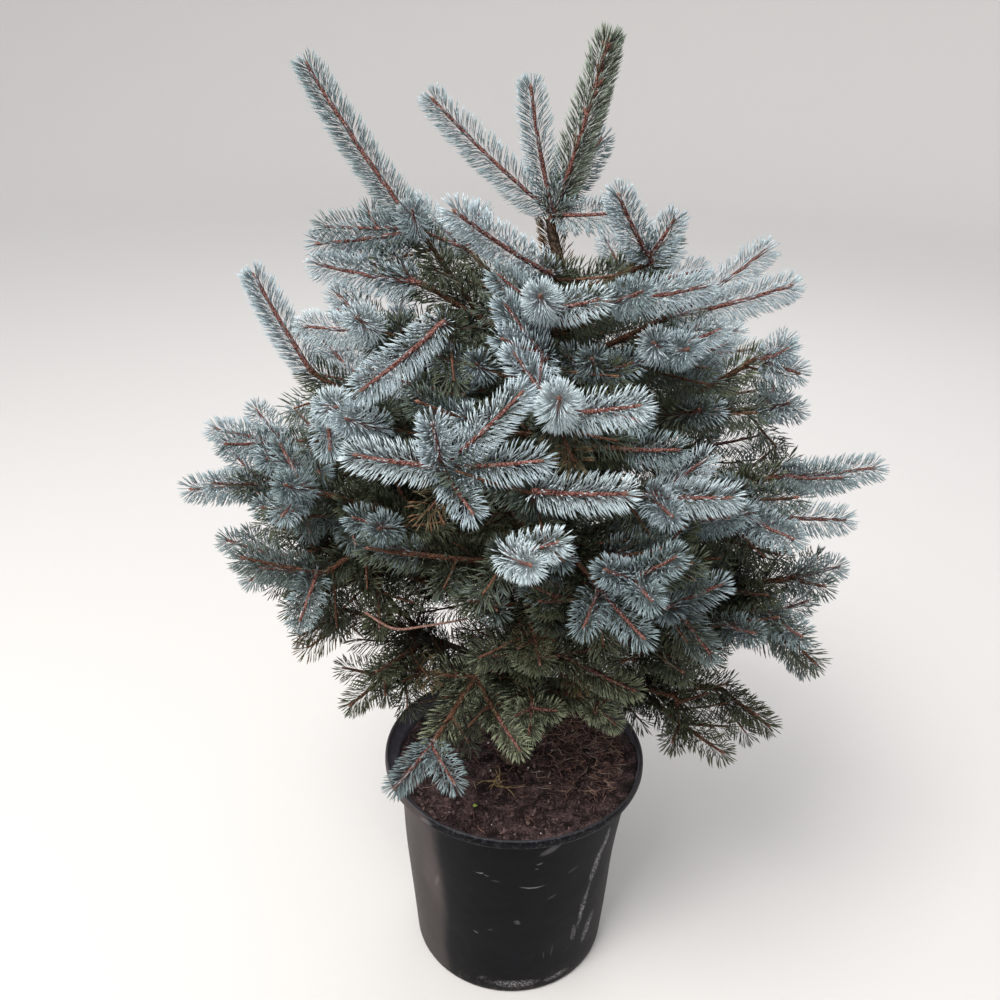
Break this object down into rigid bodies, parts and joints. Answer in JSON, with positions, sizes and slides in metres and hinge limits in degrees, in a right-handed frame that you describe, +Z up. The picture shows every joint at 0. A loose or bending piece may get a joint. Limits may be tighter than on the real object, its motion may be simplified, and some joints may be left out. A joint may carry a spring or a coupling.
{
  "type": "potted blue spruce",
  "caption": "Young blue spruce standing in a round black nursery pot, with a leaning trunk, layered boughs and needled foliage masses",
  "frame": {"origin": "centre of the pot's flat underside", "axes": "+Z up along the pot's axis, +X to the right of the picture, +Y away from its camera"},
  "size_m": [0.6382, 0.5743, 0.9533],
  "materials": {
    "pot": "satin",
    "soil": "rough",
    "trunk": "rough",
    "bough": "rough",
    "foliage": "matte"
  },
  "bodies": {
    "root": {"bough_back_wide": "bough", "bough_back_wide_l": "bough", "bough_far_left": "bough", "bough_far_left_low": "bough", "bough_front_a": "bough", "bough_front_low_r": "bough", "bough_front_mid": "bough", "bough_front_star": "bough", "bough_left_hook": "bough", "bough_right_droop": "bough", "bough_right_green": "bough", "bough_right_low": "bough", "bough_right_low_front": "bough", "bough_right_wide": "bough", "bough_rosette_low_left": "bough", "bough_spire": "bough", "foliage_back_high_l": "foliage", "foliage_back_high_r": "foliage", "foliage_back_low": "foliage", "foliage_back_low_l": "foliage", "foliage_back_low_r": "foliage", "foliage_back_mid": "foliage", "foliage_back_mid_l": "foliage", "foliage_back_mid_r": "foliage", "foliage_back_wide": "foliage", "foliage_back_wide_l": "foliage", "foliage_back_wide_r": "foliage", "foliage_crown_top": "foliage", "foliage_far_left": "foliage", "foliage_far_left_low": "foliage", "foliage_front_a": "foliage", "foliage_front_b": "foliage", "foliage_front_base": "foliage", "foliage_front_high": "foliage", "foliage_front_low": "foliage", "foliage_front_low_r": "foliage", "foliage_front_mid": "foliage", "foliage_front_star": "foliage", "foliage_front_top": "foliage", "foliage_high_rosette": "foliage", "foliage_left_high": "foliage", "foliage_left_hook": "foliage", "foliage_left_mid": "foliage", "foliage_low_front": "foliage", "foliage_low_left_b": "foliage", "foliage_pot_rim": "foliage", "foliage_right_bottom": "foliage", "foliage_right_droop": "foliage", "foliage_right_fan": "foliage", "foliage_right_green": "foliage", "foliage_right_long": "foliage", "foliage_right_low": "foliage", "foliage_right_low_front": "foliage", "foliage_right_spike": "foliage", "foliage_right_wide": "foliage", "foliage_rosette_low_left": "foliage", "foliage_spire": "foliage", "pot": "pot", "soil": "soil", "trunk": "trunk"}
  },
  "joints": []
}
